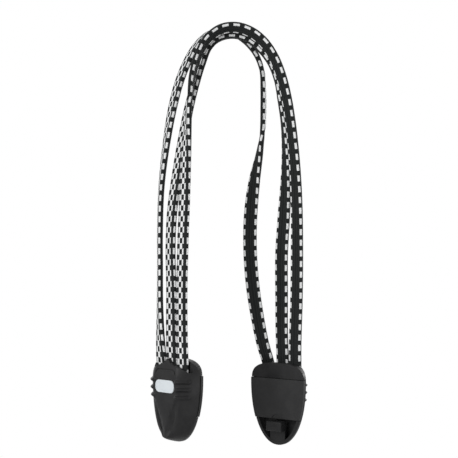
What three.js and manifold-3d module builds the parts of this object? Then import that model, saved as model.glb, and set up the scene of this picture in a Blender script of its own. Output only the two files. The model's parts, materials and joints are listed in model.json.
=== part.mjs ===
// Elastic luggage strap: three flat woven elastic bands that join two moulded hook heads.
// Millimetres, +Z up. The strap hangs from its crown, and the origin is the hang point, the underside
// of the middle band's crown. Each head is drawn upright with its tip at its own origin, x across its
// width, its dome rising from y = 0 towards -y and its rim behind, and is then placed and turned.
import * as THREE from 'three';
import { mergeVertices } from 'three/addons/utils/BufferGeometryUtils.js';
import Module from 'manifold-3d';

const wasm = await Module();
wasm.setup();

// Clearance between pieces that touch
const CLEARANCE = 0.3;

// Flat elastic bands: a rubber core in a woven sleeve
const BAND_WIDTH = 10;
const BAND_THICKNESS = 3.4;
const SLEEVE_WALL = 0.8;
const BAND_PITCH = 10.5;
const ROUTE_STEPS = 3;

// Head outline, its straight rim at the back, and the dome, which draws in less along its height than
// across its width
const HEAD_HALF_WIDTH = 22.6;
const WIDEST_HEIGHT = 44.6;
const SHOULDER_HEIGHT = 57.3;
const FRONT_TOP = 60;
const SHOULDER_POWER = 3.4;
const RIM_DEPTH = 1.5;
const DOME_DEPTH = 11.9;
const DOME_CENTRE = 34.7;
const HEIGHT_DRAW_RATIO = 0.26;
const SIDE_WALL = 2.4;
const FRONT_WALL = 3.9;
const OUTLINE_POINTS = 40;

// Gabled front wall, steeper at its peak, and the mouth that the bands enter by
const GABLE_PEAK = 58.8;
const GABLE_NECK_HALF_WIDTH = 3.2;
const GABLE_NECK_HEIGHT = 55;
const EAVES_HALF_WIDTH = 17;
const EAVES_HEIGHT = 50;
const MOUTH_MIDDLE = -4.6;
const MOUTH_SPACE = 0.5;
const NECK_UNDERSIDE = 43.4;
const MOUTH_SHOULDER = 49;

// Grip ribs on the flanks and the finger scoops below them
const RIB_HEIGHTS = [32.3, 37.55, 42.8];
const RIB_WIDTH = 2.4;
const RIB_PROUD = 1.5;
const RIB_INNER_REACH = 11;
const RIB_BACK_LIMIT = -4;
const SCOOP_OFFSET = 18;
const SCOOP_DEPTH_CENTRE = -11.9;
const SCOOP_HEIGHT = 19.5;
const SCOOP_RADII = [9, 7.5, 13];

// Bare label plate let into the front
const LABEL_WIDTH = 18.4;
const LABEL_HEIGHT = 8.6;
const LABEL_CORNER = 3.6;
const LABEL_THICKNESS = 1;
const LABEL_PROUD = 0.3;
const LABEL_MIDDLE = 39.1;

// Back cover that clips in, with a shallow thumb notch in its lower edge
const COVER_BOTTOM = 18.6;
const COVER_TOP = 46.8;
const COVER_THICKNESS = 1.9;
const NOTCH_RADIUS = 4.2;
const NOTCH_DEPTH = 0.9;
const PEG_SIZE = 3;
const PEG_REACH = 4.5;
const LOWER_PEG = [10, 24];
const UPPER_PEG_OFFSET = 12;
const UPPER_PEG_DROP = 3;

// Sprung hook tongue in the window below the cover, with room for it to swing in
const TONGUE_WIDTH = 12.6;
const TONGUE_THICKNESS = 1.8;
const TONGUE_RECESS = 0.3;
const TONGUE_SWING = 0.7;
const HOOK_BOTTOM = 10.2;
const HOOK_TOP = 16.9;
const HOOK_REACH = 5.4;

// Folded steel clip on each band's end
const CLIP_WIDTH = 9.2;
const CLIP_SHEET = 0.7;
const CLIP_HEIGHT = 6.6;

// Turn of the strap's plane from X, and the place and turn of each head
const STRAP_TURN = 37;
const HEADS = {
  left: { place: [-22.4, -31.9, -280.3], turn: -7.5, nearSlot: 1 },
  right: { place: [20.2, 30.2, -286.4], turn: 180, nearSlot: -1 },
};

// Routes of the bands between the heads, from left to right. Each point is the distance across the
// strap's plane, the distance behind it, the height, and the band's roll in degrees, where 0 stands
// edge-on to the front, 90 shows its outer face and -90 its inner face. The first and last crown points
// bound the crown stretch.
const ROUTES = {
  near: {
    slot: 1,
    leftLeg: [
      [-33.4, -22.3, -210, 45], [-33.7, -20.3, -180, 44], [-33, -17.5, -142, 44],
      [-31.8, -14.5, -107, 42], [-30.8, -12.5, -79, 33], [-29.6, -11, -58, 15],
    ],
    crown: [
      [-28.4, -10.3, -43, 0], [-26.7, -10, -27.6, -12], [-22.7, -10, -13.6, -19], [-15.6, -10, -1.4, -24],
      [-6.5, -10, 4.9, -27], [3.7, -10, 6, -29], [14.4, -10, 2.3, -31], [22.6, -10, -4.5, -32],
      [29.1, -10, -14, -32], [34, -10, -25.6, -32], [38.3, -9.8, -42, -32],
    ],
    rightLeg: [
      [41, -9, -58, -33], [43.4, -7, -78, -35], [45.4, -3.5, -106, -42],
      [46.3, 2, -148, -50], [46.1, 6.5, -186, -52], [45.4, 9.3, -216, -53],
    ],
  },
  middle: {
    slot: 0,
    leftLeg: [
      [-40.9, -15.2, -210, 44], [-41.1, -13, -176, 38], [-41.8, -10.5, -146, 35],
      [-40.6, -7.5, -119, 37], [-37.4, -4.8, -95, 38], [-33.2, -2.3, -69, 36],
    ],
    crown: [
      [-28.7, -0.8, -46, 31], [-25, 0, -32, 27], [-20.5, 0, -18.4, 20], [-14.6, 0, -6, 10],
      [-6.9, 0, 0, 3], [1.8, 0, 1.7, 0], [11.8, 0, -1.2, 0], [20.4, 0, -8.2, 0],
      [27.2, 0, -17.2, 0], [31.6, 0, -28.1, 0], [34.6, 0.4, -43, -4],
    ],
    rightLeg: [
      [37.2, 1.7, -59, -9], [38.6, 3.5, -78, -19], [38.6, 6, -101, -36], [37.4, 8.8, -124, -52],
      [35.9, 11.8, -152, -57], [36, 14, -180, -57], [36.2, 15.6, -206, -54],
    ],
  },
  far: {
    slot: -1,
    leftLeg: [
      [-48.6, -8.2, -217, 36], [-49.4, -5, -190, 22], [-49.6, -1, -160, 20],
      [-49.8, 2, -135, 20], [-48.9, 5, -104, 20], [-45.2, 7.6, -71, 26],
    ],
    crown: [
      [-40.6, 9.2, -45, 30], [-37, 10, -31, 31], [-31.6, 10, -17, 29], [-24.7, 10, -4.6, 24],
      [-16, 10, 4.3, 16], [-7, 10, 6.9, 8], [2.5, 10, 4.2, 3], [10.6, 10, -1.2, 0],
      [17.3, 10, -9.2, 0], [21.7, 10, -20.5, 3], [22.9, 10.3, -36, 8], [23, 10.6, -48, 10],
    ],
    rightLeg: [
      [22.6, 11, -62, 6], [20.3, 12.2, -80, -14], [16.9, 13.4, -98, -42],
      [14.4, 14.6, -118, -66], [13.6, 16.4, -146, -71], [15.4, 18.3, -173, -72],
      [19.2, 20, -198, -65], [22.9, 21.4, -216, -58], [27.2, 23.3, -231, -54],
    ],
  },
};

const radians = (degrees) => THREE.MathUtils.degToRad(degrees);
const UP = new THREE.Vector3(0, 0, 1);

// Materials

const plasticBlack = () => new THREE.MeshStandardMaterial({ color: 0x2b2c2e, roughness: 0.48, metalness: 0 });
const labelWhite = () => new THREE.MeshStandardMaterial({ color: 0xcfd8dd, roughness: 0.45, metalness: 0 });
const weaveBlack = () => new THREE.MeshStandardMaterial({ color: 0x343838, roughness: 0.9, metalness: 0 });
const rubberBuff = () => new THREE.MeshStandardMaterial({ color: 0x8a7f6c, roughness: 0.8, metalness: 0 });
const clipSteel = () => new THREE.MeshStandardMaterial({ color: 0xa8adb0, roughness: 0.35, metalness: 1 });

// Closed meshes to solids and back, for joining and cutting

function solid(geometry) {
  const bare = geometry.clone();
  bare.deleteAttribute('normal');
  bare.deleteAttribute('uv');
  const merged = mergeVertices(bare, 1e-4);
  const vertProperties = new Float32Array(merged.attributes.position.array);
  const triVerts = new Uint32Array(merged.index.array);
  return new wasm.Manifold(new wasm.Mesh({ numProp: 3, vertProperties, triVerts }));
}

function geometryOf(body) {
  const mesh = body.getMesh();
  const geometry = new THREE.BufferGeometry();
  geometry.setAttribute('position', new THREE.BufferAttribute(new Float32Array(mesh.vertProperties), 3));
  geometry.setIndex(new THREE.BufferAttribute(new Uint32Array(mesh.triVerts), 1));
  geometry.computeVertexNormals();
  return geometry;
}

function block([xLow, xHigh], [yLow, yHigh], [zLow, zHigh]) {
  const box = new THREE.BoxGeometry(xHigh - xLow, yHigh - yLow, zHigh - zLow);
  return solid(box.translate((xLow + xHigh) / 2, (yLow + yHigh) / 2, (zLow + zHigh) / 2));
}

// A shape drawn upright in x and z, thickened from yLow to yHigh
function upright(shape, yLow, yHigh) {
  const settings = { depth: yHigh - yLow, bevelEnabled: false, curveSegments: 6 };
  const plate = new THREE.ExtrudeGeometry(shape, settings);
  return solid(plate.rotateX(Math.PI / 2).translate(0, yHigh, 0));
}

const polygon = (points) => new THREE.Shape(points.map(([x, z]) => new THREE.Vector2(x, z)));

// The head's egg outline: half an ellipse down to the tip, a fuller shoulder above the widest height
function outline(inset, top) {
  const points = [];
  for (let i = 0; i < OUTLINE_POINTS; i += 1) {
    const angle = (2 * Math.PI * i) / OUTLINE_POINTS - Math.PI / 2;
    const power = Math.sin(angle) < 0 ? 1 : 2 / SHOULDER_POWER;
    const rise = Math.sin(angle) < 0 ? WIDEST_HEIGHT - inset : top - inset - WIDEST_HEIGHT;
    const x = Math.sign(Math.cos(angle)) * Math.abs(Math.cos(angle)) ** power;
    const z = Math.sign(Math.sin(angle)) * Math.abs(Math.sin(angle)) ** power;
    points.push([(HEAD_HALF_WIDTH - inset) * x, WIDEST_HEIGHT + rise * z]);
  }
  return points;
}

// The dome's rise from the rim to the flat in front: [share of the way out, share of the depth]
const DOME_CURVE = [
  [1, 0], [0.97, 0.1], [0.93, 0.215], [0.88, 0.34], [0.81, 0.505], [0.73, 0.67], [0.65, 0.81], [0.57, 0.92],
  [0.495, 1],
];

// A dome over the outline with a straight rim behind it, closed flat at its back
function dome(inset, depth, back) {
  const edge = outline(inset, FRONT_TOP);
  const curve = [[1, -back / depth], ...DOME_CURVE];
  const positions = [];
  curve.forEach(([out, share]) => {
    const heightScale = 1 - (1 - out) * HEIGHT_DRAW_RATIO;
    edge.forEach(([x, z]) => {
      positions.push(x * out, -depth * share, DOME_CENTRE + (z - DOME_CENTRE) * heightScale);
    });
  });
  const rings = curve.length;
  const count = edge.length;
  positions.push(0, -depth, DOME_CENTRE, 0, back, DOME_CENTRE);
  const front = rings * count;
  const rear = front + 1;
  const faces = [];
  for (let i = 0; i < count; i += 1) {
    const next = (i + 1) % count;
    for (let ring = 0; ring < rings - 1; ring += 1) {
      const outer = ring * count;
      const inner = outer + count;
      faces.push(outer + i, outer + next, inner + next, outer + i, inner + next, inner + i);
    }
    const last = (rings - 1) * count;
    faces.push(last + i, last + next, front, rear, next, i);
  }
  const geometry = new THREE.BufferGeometry();
  geometry.setAttribute('position', new THREE.Float32BufferAttribute(positions, 3));
  geometry.setIndex(faces);
  return solid(geometry);
}

// Hook head: shell, label, cover, tongue and clips

const FAR_OUT = 100;
const CUT_PAST = 1;
const backFace = CLEARANCE + COVER_THICKNESS;
const tongueFace = RIM_DEPTH - TONGUE_RECESS;
const mouthHalfWidth = BAND_PITCH + BAND_WIDTH / 2 + 2 * MOUTH_SPACE;
const mouthFront = MOUTH_MIDDLE - BAND_THICKNESS / 2 - MOUTH_SPACE;
const mouthBack = MOUTH_MIDDLE + BAND_THICKNESS / 2 + MOUTH_SPACE;
const clipInside = BAND_THICKNESS / 2 + CLEARANCE;
const clipOutside = clipInside + CLIP_SHEET;
const clipTop = NECK_UNDERSIDE - CLEARANCE;
const clipFold = clipTop - CLIP_HEIGHT;
const bandEnd = clipFold + CLIP_SHEET + CLEARANCE;

function labelShape(spare) {
  const half = [LABEL_WIDTH / 2 + spare, LABEL_HEIGHT / 2 + spare];
  const corner = LABEL_CORNER + spare;
  const shape = new THREE.Shape();
  const arcs = [[1, -1, -90], [1, 1, 0], [-1, 1, 90], [-1, -1, 180]];
  arcs.forEach(([sideX, sideZ, start]) => {
    const x = sideX * (half[0] - corner);
    const z = LABEL_MIDDLE + sideZ * (half[1] - corner);
    shape.absarc(x, z, corner, radians(start), radians(start + 90), false);
  });
  return shape;
}

// The grip ribs are slices of a slightly larger dome, kept on the two flanks
function gripRibs() {
  const larger = dome(-RIB_PROUD, DOME_DEPTH + RIB_PROUD / 2, RIM_DEPTH);
  const ribs = [];
  RIB_HEIGHTS.forEach((height) => {
    const slice = [height - RIB_WIDTH / 2, height + RIB_WIDTH / 2];
    const depth = [-FAR_OUT, RIB_BACK_LIMIT];
    ribs.push(larger.intersect(block([RIB_INNER_REACH, FAR_OUT], depth, slice)));
    ribs.push(larger.intersect(block([-FAR_OUT, -RIB_INNER_REACH], depth, slice)));
  });
  return ribs;
}

function fingerScoops() {
  return [-1, 1].map((side) => {
    const ball = new THREE.SphereGeometry(1, 18, 12).scale(...SCOOP_RADII);
    return solid(ball.translate(side * SCOOP_OFFSET, SCOOP_DEPTH_CENTRE, SCOOP_HEIGHT));
  });
}

// Everything above the gable in front of the mouth
function aboveGable() {
  const slope = [
    [GABLE_NECK_HALF_WIDTH, GABLE_NECK_HEIGHT],
    [EAVES_HALF_WIDTH, EAVES_HEIGHT],
    [FAR_OUT, EAVES_HEIGHT],
    [FAR_OUT, FAR_OUT],
  ];
  const mirrored = slope.map(([x, z]) => [-x, z]).reverse();
  return upright(polygon([[0, GABLE_PEAK], ...slope, ...mirrored]), -FAR_OUT, MOUTH_MIDDLE);
}

// Everything above the rounded shoulder behind the mouth
function aboveShoulder() {
  const crest = outline(0, SHOULDER_HEIGHT).filter(([, z]) => z >= WIDEST_HEIGHT - 1e-6).reverse();
  const sky = [[FAR_OUT, WIDEST_HEIGHT], [FAR_OUT, FAR_OUT], [-FAR_OUT, FAR_OUT], [-FAR_OUT, WIDEST_HEIGHT]];
  return upright(polygon([...crest, ...sky]), MOUTH_MIDDLE, RIM_DEPTH + CUT_PAST);
}

function shellGeometry() {
  let shell = dome(0, DOME_DEPTH, RIM_DEPTH);
  gripRibs().forEach((rib) => {
    shell = shell.add(rib);
  });
  fingerScoops().forEach((scoop) => {
    shell = shell.subtract(scoop);
  });
  shell = shell.subtract(aboveGable()).subtract(aboveShoulder());

  const everyWidth = [-FAR_OUT, FAR_OUT];
  const pastRim = RIM_DEPTH + CUT_PAST;
  const belowNeck = block(everyWidth, [-FAR_OUT, FAR_OUT], [0, NECK_UNDERSIDE]);
  const hollow = dome(SIDE_WALL, DOME_DEPTH - FRONT_WALL, pastRim).intersect(belowNeck);
  const roomHalfWidth = TONGUE_WIDTH / 2 + 2 * CLEARANCE;
  const tongueBlock = block([-roomHalfWidth, roomHalfWidth], [-FAR_OUT, FAR_OUT], [0, HOOK_TOP]);
  const roomFloor = tongueFace - TONGUE_THICKNESS - TONGUE_SWING;
  const insideRim = upright(polygon(outline(SIDE_WALL, FRONT_TOP)), roomFloor, pastRim);
  const tongueRoom = insideRim.intersect(tongueBlock);
  const coverSeat = block(everyWidth, [0, pastRim], [COVER_BOTTOM - CLEARANCE, COVER_TOP + CLEARANCE]);
  const pocketHalfWidth = BAND_PITCH + Math.max(CLIP_WIDTH, BAND_WIDTH) / 2 + CLEARANCE;
  const pocketFront = MOUTH_MIDDLE - clipOutside - CLEARANCE;
  const clipPocket = block(
    [-pocketHalfWidth, pocketHalfWidth],
    [pocketFront, pastRim],
    [clipFold - CLEARANCE, NECK_UNDERSIDE],
  );
  const mouth = block(
    [-mouthHalfWidth, mouthHalfWidth],
    [mouthFront, mouthBack],
    [NECK_UNDERSIDE - CUT_PAST, FAR_OUT],
  );
  const openShoulders = block(everyWidth, [mouthFront, mouthBack], [MOUTH_SHOULDER, FAR_OUT]);
  [hollow, tongueRoom, coverSeat, clipPocket, mouth, openShoulders].forEach((space) => {
    shell = shell.subtract(space);
  });

  const seatFloor = -DOME_DEPTH - LABEL_PROUD + LABEL_THICKNESS + CLEARANCE;
  return geometryOf(shell.subtract(upright(labelShape(CLEARANCE), -FAR_OUT, seatFloor)));
}

function labelGeometry() {
  const face = -DOME_DEPTH - LABEL_PROUD;
  return geometryOf(upright(labelShape(0), face, face + LABEL_THICKNESS));
}

// The upper pegs stand clear below the band clips
function coverGeometry() {
  const upperPeg = [UPPER_PEG_OFFSET, clipFold - UPPER_PEG_DROP - PEG_SIZE / 2];
  const span = block([-FAR_OUT, FAR_OUT], [-FAR_OUT, FAR_OUT], [COVER_BOTTOM, COVER_TOP]);
  const notch = new THREE.Shape().absarc(0, COVER_BOTTOM, NOTCH_RADIUS, 0, 2 * Math.PI, false);
  let cover = upright(polygon(outline(0, SHOULDER_HEIGHT)), CLEARANCE, backFace).intersect(span);
  [LOWER_PEG, upperPeg].forEach(([x, z]) => {
    [-1, 1].forEach((side) => {
      const across = [side * x - PEG_SIZE / 2, side * x + PEG_SIZE / 2];
      cover = cover.add(block(across, [-PEG_REACH, backFace], [z - PEG_SIZE / 2, z + PEG_SIZE / 2]));
    });
  });
  return geometryOf(cover.subtract(upright(notch, backFace - NOTCH_DEPTH, FAR_OUT)));
}

function tongueGeometry() {
  const half = TONGUE_WIDTH / 2;
  const inner = tongueFace - TONGUE_THICKNESS;
  const strip = block([-half, half], [inner, tongueFace], [0, HOOK_TOP]);
  const seat = upright(polygon(outline(SIDE_WALL + CLEARANCE, SHOULDER_HEIGHT)), -FAR_OUT, FAR_OUT);
  const hookDepth = [tongueFace - TONGUE_THICKNESS / 2, tongueFace + HOOK_REACH];
  const hook = block([-half, half], hookDepth, [HOOK_BOTTOM, HOOK_TOP]);
  return geometryOf(strip.intersect(seat).add(hook));
}

// A strip of steel folded up around the band's end, open at its sides
function clipGeometry() {
  const fold = clipFold + CLIP_SHEET;
  const section = polygon([
    [-clipOutside, clipFold], [clipOutside, clipFold], [clipOutside, clipTop], [clipInside, clipTop],
    [clipInside, fold], [-clipInside, fold], [-clipInside, clipTop], [-clipOutside, clipTop],
  ]);
  const bent = upright(section, -CLIP_WIDTH / 2, CLIP_WIDTH / 2);
  return geometryOf(bent).rotateZ(Math.PI / 2);
}

function makeHead(side, { place, turn, nearSlot }) {
  const head = new THREE.Group();
  const add = (name, geometry, material) => {
    const piece = new THREE.Mesh(geometry, material);
    piece.name = `${side}_${name}`;
    head.add(piece);
    return piece;
  };
  add('head_shell', shellGeometry(), plasticBlack());
  add('label_plate', labelGeometry(), labelWhite());
  add('back_cover', coverGeometry(), plasticBlack());
  add('hook_tongue', tongueGeometry(), plasticBlack());
  Object.entries(ROUTES).forEach(([band, { slot }]) => {
    const clip = add(`${band}_band_clip`, clipGeometry(), clipSteel());
    clip.position.set(slot * nearSlot * BAND_PITCH, MOUTH_MIDDLE, 0);
  });
  head.position.set(...place);
  head.rotation.z = radians(turn);
  return head;
}

// Bands

const strapPoint = ([across, behind, height]) => (
  new THREE.Vector3(across, behind, height).applyAxisAngle(UP, radians(STRAP_TURN))
);

// Where a band runs straight down through a head's mouth into its clip
function mouthPoints(side, slot) {
  const { place, turn, nearSlot } = HEADS[side];
  const drop = [bandEnd, MOUTH_SHOULDER];
  return drop.map((height) => {
    const inHead = new THREE.Vector3(slot * nearSlot * BAND_PITCH, MOUTH_MIDDLE, height);
    return inHead.applyAxisAngle(UP, radians(turn)).add(new THREE.Vector3(...place));
  });
}

// In a head the band's width lies along the head's width
const mouthRoll = ({ turn, nearSlot }) => nearSlot * (90 - STRAP_TURN + (nearSlot > 0 ? turn : turn - 180));

function bandRoute({ slot, leftLeg, crown, rightLeg }) {
  const free = [...leftLeg, ...crown, ...rightLeg];
  const leftEnd = mouthPoints('left', slot);
  const rightEnd = mouthPoints('right', slot).reverse();
  const points = [...leftEnd, ...free.map(strapPoint), ...rightEnd];
  const rolls = [
    ...leftEnd.map(() => mouthRoll(HEADS.left)),
    ...free.map(([, , , roll]) => roll),
    ...rightEnd.map(() => mouthRoll(HEADS.right)),
  ];
  const path = new THREE.CatmullRomCurve3(points, false, 'catmullrom', 0.5);
  const crownStart = leftEnd.length + leftLeg.length;
  const crownEnd = crownStart + crown.length - 1;
  return { path, points, rolls, crownStart, crownEnd };
}

// A flat section with round edges, of 10 sides outside and 8 inside
function flatSection(width, thickness, edgeSides) {
  const radius = thickness / 2;
  const points = [];
  [[1, -90], [-1, 90]].forEach(([side, start]) => {
    for (let i = 0; i <= edgeSides; i += 1) {
      const angle = radians(start + (180 * i) / edgeSides);
      points.push([side * (width / 2 - radius) + radius * Math.cos(angle), radius * Math.sin(angle)]);
    }
  });
  return points;
}

// Bends a straight extrusion of the section onto a stretch of the route, a few steps to each point. The
// ends next to another stretch stand back by half a clearance.
function bandStretch(section, hole, route, first, last) {
  const shape = polygon(section);
  if (hole) shape.holes.push(new THREE.Path(hole.map(([x, y]) => new THREE.Vector2(x, y))));
  const steps = (last - first) * ROUTE_STEPS;
  const routeEnd = route.points.length - 1;
  const geometry = new THREE.ExtrudeGeometry(shape, { depth: steps, steps, bevelEnabled: false });
  const position = geometry.attributes.position;
  for (let i = 0; i < position.count; i += 1) {
    const step = Math.round(position.getZ(i));
    const index = first + step / ROUTE_STEPS;
    const before = Math.min(Math.floor(index), routeEnd - 1);
    const roll = THREE.MathUtils.lerp(route.rolls[before], route.rolls[before + 1], index - before);
    const forward = route.path.getTangent(index / routeEnd);
    const wide = strapPoint([0, -1, 0]);
    wide.addScaledVector(forward, -wide.dot(forward)).normalize();
    wide.applyAxisAngle(forward, radians(roll));
    const thick = new THREE.Vector3().crossVectors(forward, wide);
    const place = route.path.getPoint(index / routeEnd);
    if (step === 0 && first > 0) place.addScaledVector(forward, CLEARANCE / 2);
    if (step === steps && last < routeEnd) place.addScaledVector(forward, -CLEARANCE / 2);
    place.addScaledVector(wide, position.getX(i)).addScaledVector(thick, position.getY(i));
    position.setXYZ(i, place.x, place.y, place.z);
  }
  geometry.computeVertexNormals();
  return geometry;
}

function makeBands() {
  const bands = new THREE.Group();
  const sleeveSection = flatSection(BAND_WIDTH, BAND_THICKNESS, 4);
  const boreSection = flatSection(BAND_WIDTH - 2 * SLEEVE_WALL, BAND_THICKNESS - 2 * SLEEVE_WALL, 3);
  const coreInset = 2 * (SLEEVE_WALL + CLEARANCE);
  const coreSection = flatSection(BAND_WIDTH - coreInset, BAND_THICKNESS - coreInset, 3);
  Object.entries(ROUTES).forEach(([band, settings]) => {
    const route = bandRoute(settings);
    const stretches = [
      ['left_leg', 0, route.crownStart],
      ['crown', route.crownStart, route.crownEnd],
      ['right_leg', route.crownEnd, route.points.length - 1],
    ];
    stretches.forEach(([stretch, first, last]) => {
      const sleeve = bandStretch(sleeveSection, boreSection, route, first, last);
      const core = bandStretch(coreSection, null, route, first, last);
      const pieces = [['sleeve', sleeve, weaveBlack()], ['core', core, rubberBuff()]];
      pieces.forEach(([layer, geometry, material]) => {
        const piece = new THREE.Mesh(geometry, material);
        piece.name = `${band}_${stretch}_${layer}`;
        bands.add(piece);
      });
    });
  });
  return bands;
}

const strap = new THREE.Group();
strap.add(makeBands());
Object.entries(HEADS).forEach(([side, settings]) => strap.add(makeHead(side, settings)));

export default strap;
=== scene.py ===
import json
import math

import bpy
from mathutils import Matrix, Vector

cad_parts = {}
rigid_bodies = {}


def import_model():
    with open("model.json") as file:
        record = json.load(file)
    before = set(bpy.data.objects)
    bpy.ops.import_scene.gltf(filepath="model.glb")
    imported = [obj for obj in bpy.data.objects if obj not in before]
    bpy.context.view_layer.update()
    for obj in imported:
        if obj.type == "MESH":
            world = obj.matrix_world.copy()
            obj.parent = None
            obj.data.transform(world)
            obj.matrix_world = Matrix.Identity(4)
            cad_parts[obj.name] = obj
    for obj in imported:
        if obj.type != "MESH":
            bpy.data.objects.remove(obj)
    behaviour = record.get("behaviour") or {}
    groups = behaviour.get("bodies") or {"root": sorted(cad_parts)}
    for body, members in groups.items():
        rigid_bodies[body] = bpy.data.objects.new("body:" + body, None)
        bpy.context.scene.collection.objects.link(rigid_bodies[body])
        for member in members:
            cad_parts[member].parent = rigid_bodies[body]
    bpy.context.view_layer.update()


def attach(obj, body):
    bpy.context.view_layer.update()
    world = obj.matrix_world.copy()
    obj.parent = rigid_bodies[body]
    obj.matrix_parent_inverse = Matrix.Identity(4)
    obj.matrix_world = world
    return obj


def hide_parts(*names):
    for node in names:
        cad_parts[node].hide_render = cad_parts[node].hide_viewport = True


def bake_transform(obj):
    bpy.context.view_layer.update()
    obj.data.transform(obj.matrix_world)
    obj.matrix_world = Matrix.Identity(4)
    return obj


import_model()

# Woven elastic bands: three flat tapes of black yarn, with white yarns that float over the edges and
# the outer face. Each is woven as a tube around rubber threads and hangs in one loop from head to head.
# The legs lengthen as a head is pulled down, and are left in place here with no body.
band_width = 0.0100
band_thickness = 0.0034
sleeve_wall = 0.0008
band_pitch = 0.0105
ring_step = 0.001
least_rings = 4
bore_every = 4
weave_repeat = 0.0075
float_rise = 0.00012
edge_float_reach = 0.0014
middle_float_reach = 0.00125
side_float_reach = 0.0028
# How far the white edge yarns are drawn round from the edge's middle towards the inner face, and each
# change to that between two rolls of the band in degrees
near_edge_drawn = 0.0014, ((-0.0026, -6, 9), (0.0012, 18, 44))
far_edge_drawn = 0.0022, ((-0.0041, -20, 40),)
# Where the white cells fade at their sides, in millimetres from their line, and at their ends, in weave
# repeats, and then the widths of yarns and ribs in millimetres
edge_dash_sides, edge_dash_ends = (0.72, 0.93), (0.265, 0.295)
side_cell_sides, side_cell_ends = (0.58, 0.76), (0.255, 0.285)
middle_cell_sides, middle_cell_ends = (1.05, 1.23), (0.225, 0.255)
side_cell_line = 2.02
yarn_width = 0.62
inner_rib_width = 1.55
inner_face_start = (8.2, 8.8)
picks_in_repeat = 12
# Band colours: the black ground, and the same black with a painted highlight for the crowns of yarns and
# inner ribs
band_black = (0.0115, 0.0128, 0.0128, 1)
band_lit_black = (0.05, 0.054, 0.054, 1)
band_white = (0.92, 0.93, 0.93, 1)
# The white yarns in painted shade, where they lie down in the grooves between yarns
shaded_thread_white = (0.76, 0.77, 0.77, 1)
strap_turn = math.radians(37)
mouth_depth = -0.0046
mouth_heights = (0.0375, 0.049)
head_places = {
    "left": {"place": (-0.0224, -0.0319, -0.2803), "turn": math.radians(-7.5), "near_slot": 1},
    "right": {"place": (0.0202, 0.0302, -0.2864), "turn": math.radians(180), "near_slot": -1},
}
# Points of each band from left to right: across, behind, height, and the band's roll in degrees, where
# 0 stands edge-on to the front, 90 shows the outer face and -90 the inner face
band_routes = {
    "near": {
        "slot": 1,
        "left_leg": [
            (-0.0334, -0.0223, -0.2100, 45), (-0.0337, -0.0203, -0.1800, 44), (-0.0330, -0.0175, -0.1420, 44),
            (-0.0318, -0.0145, -0.1070, 42), (-0.0308, -0.0125, -0.0790, 33), (-0.0296, -0.0110, -0.0580, 15),
        ],
        "crown": [
            (-0.0284, -0.0103, -0.0430, 0), (-0.0267, -0.0100, -0.0276, -12),
            (-0.0227, -0.0100, -0.0136, -19), (-0.0156, -0.0100, -0.0014, -24),
            (-0.0065, -0.0100, 0.0049, -27), (0.0037, -0.0100, 0.0060, -29), (0.0144, -0.0100, 0.0023, -31),
            (0.0226, -0.0100, -0.0045, -32), (0.0291, -0.0100, -0.0140, -32), (0.0340, -0.0100, -0.0256, -32),
            (0.0383, -0.0098, -0.0420, -32),
        ],
        "right_leg": [
            (0.0410, -0.0090, -0.0580, -33), (0.0434, -0.0070, -0.0780, -35), (0.0454, -0.0035, -0.1060, -42),
            (0.0463, 0.0020, -0.1480, -50), (0.0461, 0.0065, -0.1860, -52), (0.0454, 0.0093, -0.2160, -53),
        ],
    },
    "middle": {
        "slot": 0,
        "left_leg": [
            (-0.0409, -0.0152, -0.2100, 44), (-0.0411, -0.0130, -0.1760, 38), (-0.0418, -0.0105, -0.1460, 35),
            (-0.0406, -0.0075, -0.1190, 37), (-0.0374, -0.0048, -0.0950, 38), (-0.0332, -0.0023, -0.0690, 36),
        ],
        "crown": [
            (-0.0287, -0.0008, -0.0460, 31), (-0.0250, 0.0000, -0.0320, 27), (-0.0205, 0.0000, -0.0184, 20),
            (-0.0146, 0.0000, -0.0060, 10), (-0.0069, 0.0000, 0.0000, 3), (0.0018, 0.0000, 0.0017, 0),
            (0.0118, 0.0000, -0.0012, 0), (0.0204, 0.0000, -0.0082, 0), (0.0272, 0.0000, -0.0172, 0),
            (0.0316, 0.0000, -0.0281, 0), (0.0346, 0.0004, -0.0430, -4),
        ],
        "right_leg": [
            (0.0372, 0.0017, -0.0590, -9), (0.0386, 0.0035, -0.0780, -19), (0.0386, 0.0060, -0.1010, -36),
            (0.0374, 0.0088, -0.1240, -52), (0.0359, 0.0118, -0.1520, -57), (0.0360, 0.0140, -0.1800, -57),
            (0.0362, 0.0156, -0.2060, -54),
        ],
    },
    "far": {
        "slot": -1,
        "left_leg": [
            (-0.0486, -0.0082, -0.2170, 33), (-0.0494, -0.0050, -0.1900, 15), (-0.0496, -0.0010, -0.1600, 10),
            (-0.0498, 0.0020, -0.1350, 10), (-0.0489, 0.0050, -0.1040, 12), (-0.0452, 0.0076, -0.0710, 21),
        ],
        "crown": [
            (-0.0406, 0.0092, -0.0450, 30), (-0.0370, 0.0100, -0.0310, 31), (-0.0316, 0.0100, -0.0170, 29),
            (-0.0247, 0.0100, -0.0046, 24), (-0.0160, 0.0100, 0.0043, 16), (-0.0070, 0.0100, 0.0069, 8),
            (0.0025, 0.0100, 0.0042, 3), (0.0106, 0.0100, -0.0012, 0), (0.0173, 0.0100, -0.0092, 0),
            (0.0217, 0.0100, -0.0205, 3), (0.0229, 0.0103, -0.0360, 8), (0.0230, 0.0106, -0.0480, 10),
        ],
        "right_leg": [
            (0.0226, 0.0110, -0.0620, 6), (0.0203, 0.0122, -0.0800, -14), (0.0169, 0.0134, -0.0980, -42),
            (0.0144, 0.0146, -0.1180, -66), (0.0136, 0.0164, -0.1460, -71), (0.0154, 0.0183, -0.1730, -72),
            (0.0192, 0.0200, -0.1980, -65), (0.0229, 0.0214, -0.2160, -58), (0.0272, 0.0233, -0.2310, -54),
        ],
    },
}


def strap_point(across, behind, height):
    return Matrix.Rotation(strap_turn, 3, "Z") @ Vector((across, behind, height))


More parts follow.
